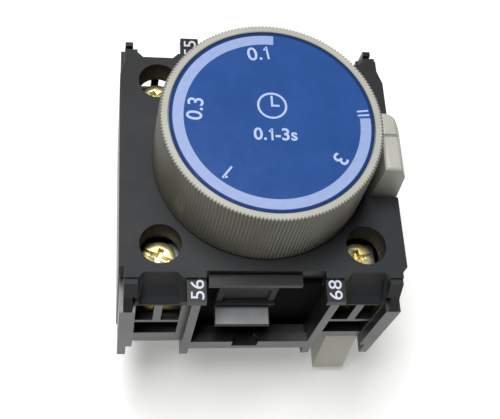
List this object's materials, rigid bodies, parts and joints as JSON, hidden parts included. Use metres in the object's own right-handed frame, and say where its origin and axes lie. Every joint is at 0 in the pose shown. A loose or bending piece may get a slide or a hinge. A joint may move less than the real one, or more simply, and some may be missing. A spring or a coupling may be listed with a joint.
{
  "type": "clip-on pneumatic timer block",
  "caption": "Square black clip-on timer block with a large round beige and blue setting dial, a beige locking lever, recessed terminal screws and rear claws.",
  "frame": {"origin": "centre of the mounting plane, where the back meets the contactor's front", "axes": "+X to the right across the face, +Y up the panel, +Z out of the panel along the dial's axis"},
  "size_m": [0.045, 0.048, 0.056],
  "materials": {
    "black_thermoplastic": "fine moulded grain, satin",
    "grey_black_thermoplastic": "fine moulded grain, satin",
    "beige_thermoplastic": "moulded, satin",
    "blue_printed_film": "printed film, semi-gloss",
    "yellow_passivated_steel": "zinc plated, yellow passivated",
    "zinc_plated_steel": "bright zinc",
    "spring_steel": "drawn wire",
    "turned_brass": "turned",
    "contact_brass": "stamped strip",
    "contact_silver": "riveted silver tip",
    "black_rubber": "moulded rubber",
    "white_acetal": "ground flat",
    "filter_felt": "pressed felt"
  },
  "bodies": {
    "housing": {"base_housing": "black_thermoplastic", "main_housing": "black_thermoplastic", "front_cover": "grey_black_thermoplastic", "marker_holder": "black_thermoplastic", "metering_plate": "white_acetal", "seal_ring": "black_rubber", "air_filter": "filter_felt", "timing_head": "black_thermoplastic", "check_valve": "black_rubber", "bellows": "black_rubber", "delay_spring": "spring_steel", "fixed_contact_tips": "contact_silver", "yoke_return_spring": "spring_steel", "lever_pin": "zinc_plated_steel", "terminal_strip_55": "contact_brass", "terminal_strip_56": "contact_brass", "terminal_strip_67": "contact_brass", "terminal_strip_68": "contact_brass"},
    "dial": {"dial_knob": "beige_thermoplastic", "dial_label": "blue_printed_film", "dial_spindle": "turned_brass", "spindle_clip": "spring_steel", "metering_disc": "white_acetal"},
    "lever": {"locking_lever": "beige_thermoplastic", "lever_spring": "spring_steel"},
    "yoke": {"coupling_yoke": "beige_thermoplastic"},
    "carrier": {"contact_carrier": "white_acetal", "nc_contact_bridge": "contact_brass", "no_contact_bridge": "contact_brass", "moving_contact_tips": "contact_silver", "nc_contact_spring": "spring_steel", "no_contact_spring": "spring_steel", "bellows_plate": "white_acetal"},
    "clamp_55": {"terminal_clamp_55": "zinc_plated_steel"},
    "screw_55": {"terminal_screw_55": "yellow_passivated_steel"},
    "clamp_56": {"terminal_clamp_56": "zinc_plated_steel"},
    "screw_56": {"terminal_screw_56": "yellow_passivated_steel"},
    "clamp_67": {"terminal_clamp_67": "zinc_plated_steel"},
    "screw_67": {"terminal_screw_67": "yellow_passivated_steel"},
    "clamp_68": {"terminal_clamp_68": "zinc_plated_steel"},
    "screw_68": {"terminal_screw_68": "yellow_passivated_steel"}
  },
  "joints": [
    {"name": "dial_turn", "type": "hinge", "parent": "housing", "child": "dial", "pos_m": [0, 0, 0.0397], "axis": [0, 0, 1], "range_deg": [0, 270]},
    {"name": "lever_release", "type": "hinge", "parent": "housing", "child": "lever", "pos_m": [0, 0, 0.025], "axis": [1, 0, 0], "range_deg": [-5, 0], "stiffness_Nm_per_rad": 0.05, "springref_deg": 5.73},
    {"name": "yoke_travel", "type": "slide", "parent": "housing", "child": "yoke", "axis": [0, 0, 1], "range_m": [-0.004, 0], "stiffness_N_per_m": 150, "springref_m": 0.002, "deforming": ["yoke_return_spring"]},
    {"name": "carrier_travel", "type": "slide", "parent": "housing", "child": "carrier", "axis": [0, 0, 1], "range_m": [-0.003, 0], "deforming": ["bellows", "delay_spring"]},
    {"name": "clamp_55_lower", "type": "slide", "parent": "housing", "child": "clamp_55", "axis": [0, 0, 1], "range_m": [-0.0028, 0]},
    {"name": "screw_55_turn", "type": "hinge", "parent": "clamp_55", "child": "screw_55", "pos_m": [-0.0162, 0.01475, 0.0397], "axis": [0, 0, 1], "range_deg": [-1680, 0]},
    {"name": "clamp_56_lower", "type": "slide", "parent": "housing", "child": "clamp_56", "axis": [0, 0, 1], "range_m": [-0.0028, 0]},
    {"name": "screw_56_turn", "type": "hinge", "parent": "clamp_56", "child": "screw_56", "pos_m": [-0.0162, -0.01475, 0.0397], "axis": [0, 0, 1], "range_deg": [-1680, 0]},
    {"name": "clamp_67_lower", "type": "slide", "parent": "housing", "child": "clamp_67", "axis": [0, 0, 1], "range_m": [-0.0028, 0]},
    {"name": "screw_67_turn", "type": "hinge", "parent": "clamp_67", "child": "screw_67", "pos_m": [0.0162, 0.01475, 0.0397], "axis": [0, 0, 1], "range_deg": [-1680, 0]},
    {"name": "clamp_68_lower", "type": "slide", "parent": "housing", "child": "clamp_68", "axis": [0, 0, 1], "range_m": [-0.0028, 0]},
    {"name": "screw_68_turn", "type": "hinge", "parent": "clamp_68", "child": "screw_68", "pos_m": [0.0162, -0.01475, 0.0397], "axis": [0, 0, 1], "range_deg": [-1680, 0]}
  ],
  "couplings": [
    {"joint": "carrier_travel", "follows": "yoke_travel", "ratio": 0.75},
    {"joint": "screw_55_turn", "follows": "clamp_55_lower", "rad_per_m": 10472},
    {"joint": "screw_56_turn", "follows": "clamp_56_lower", "rad_per_m": 10472},
    {"joint": "screw_67_turn", "follows": "clamp_67_lower", "rad_per_m": 10472},
    {"joint": "screw_68_turn", "follows": "clamp_68_lower", "rad_per_m": 10472}
  ]
}
